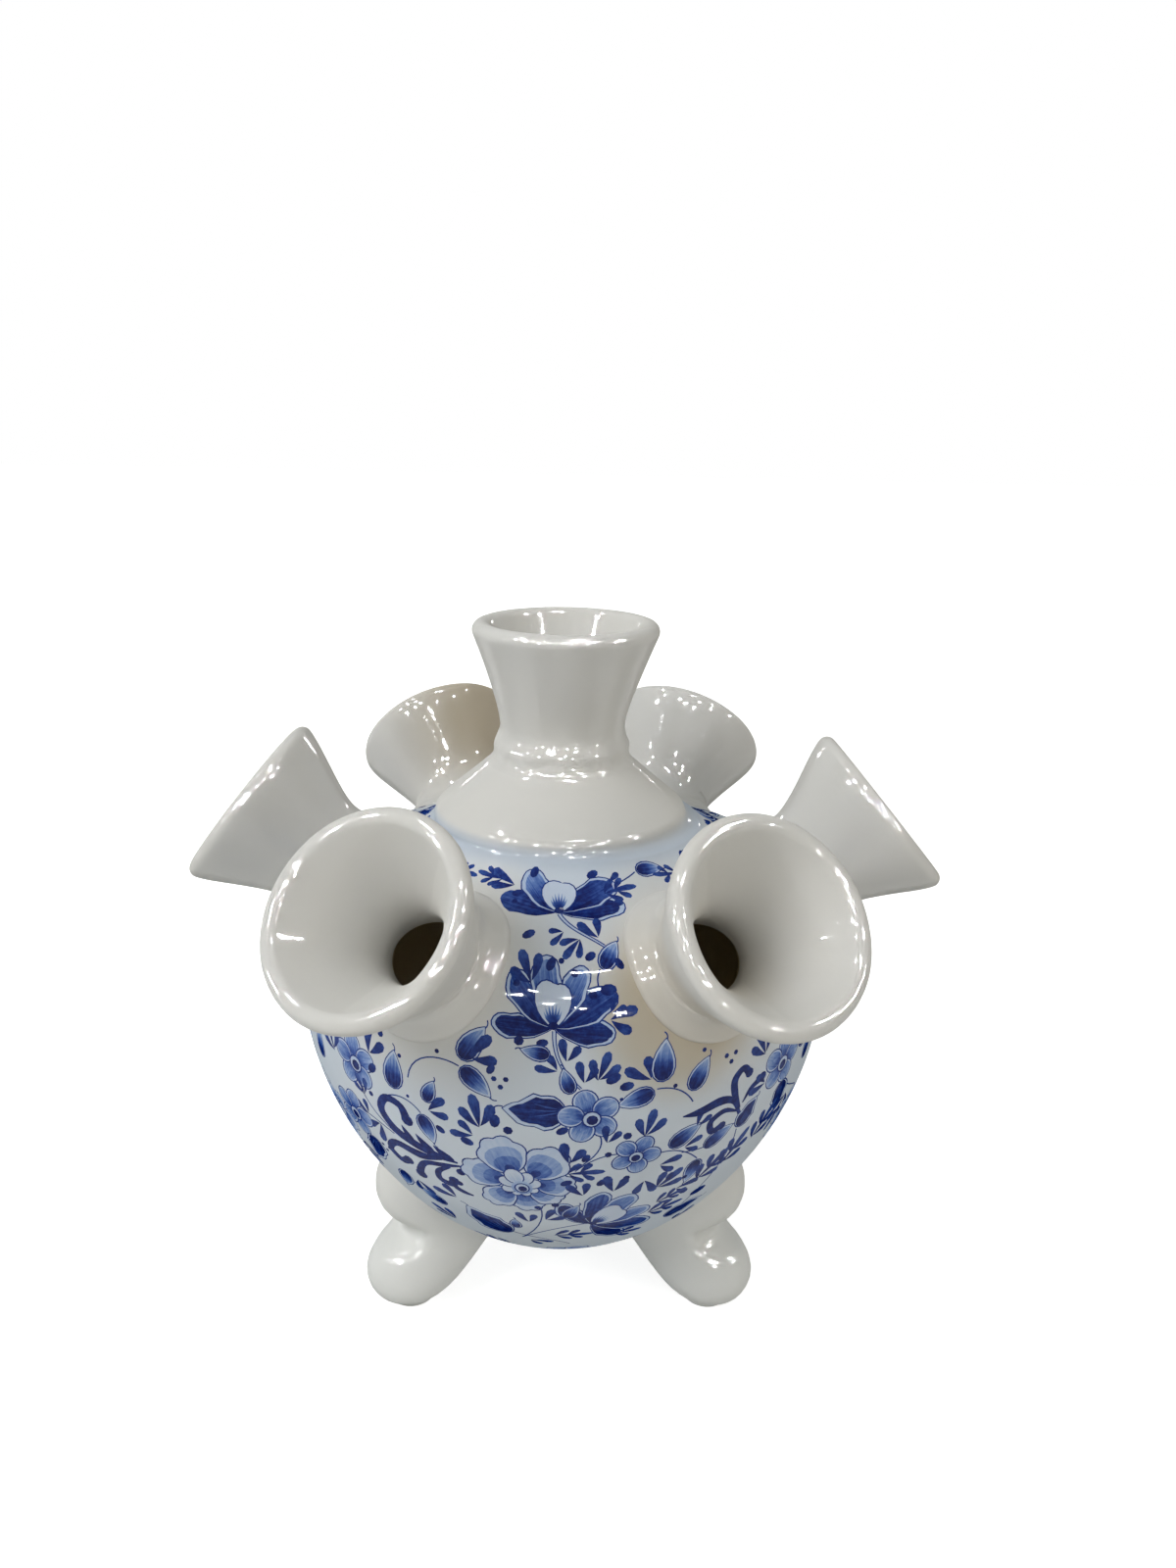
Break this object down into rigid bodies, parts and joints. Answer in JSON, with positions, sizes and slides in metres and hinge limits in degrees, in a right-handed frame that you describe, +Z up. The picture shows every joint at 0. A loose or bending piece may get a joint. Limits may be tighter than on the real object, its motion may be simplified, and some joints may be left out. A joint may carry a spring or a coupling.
{
  "type": "tulip vase",
  "caption": "Glazed white earthenware tulip vase: a round blue-painted body on three feet, with one upright flared spout on top and slanted flared spouts around it.",
  "frame": {"origin": "on the ground plane, below the middle of the vase's bounding box", "axes": "+X to the vase's right as seen from the front, +Y to its back, +Z up"},
  "size_m": [0.163, 0.1502, 0.1512],
  "materials": {
    "blue_painted_glaze": "gloss",
    "white_glaze": "gloss"
  },
  "bodies": {
    "root": {"body": "blue_painted_glaze", "centre_spout": "white_glaze", "side_spout_right": "white_glaze", "side_spout_back_right": "white_glaze", "side_spout_back_left": "white_glaze", "side_spout_left": "white_glaze", "side_spout_front_left": "white_glaze", "side_spout_front_right": "white_glaze", "foot_front_left": "white_glaze", "foot_front_right": "white_glaze", "foot_back": "white_glaze"}
  },
  "joints": []
}
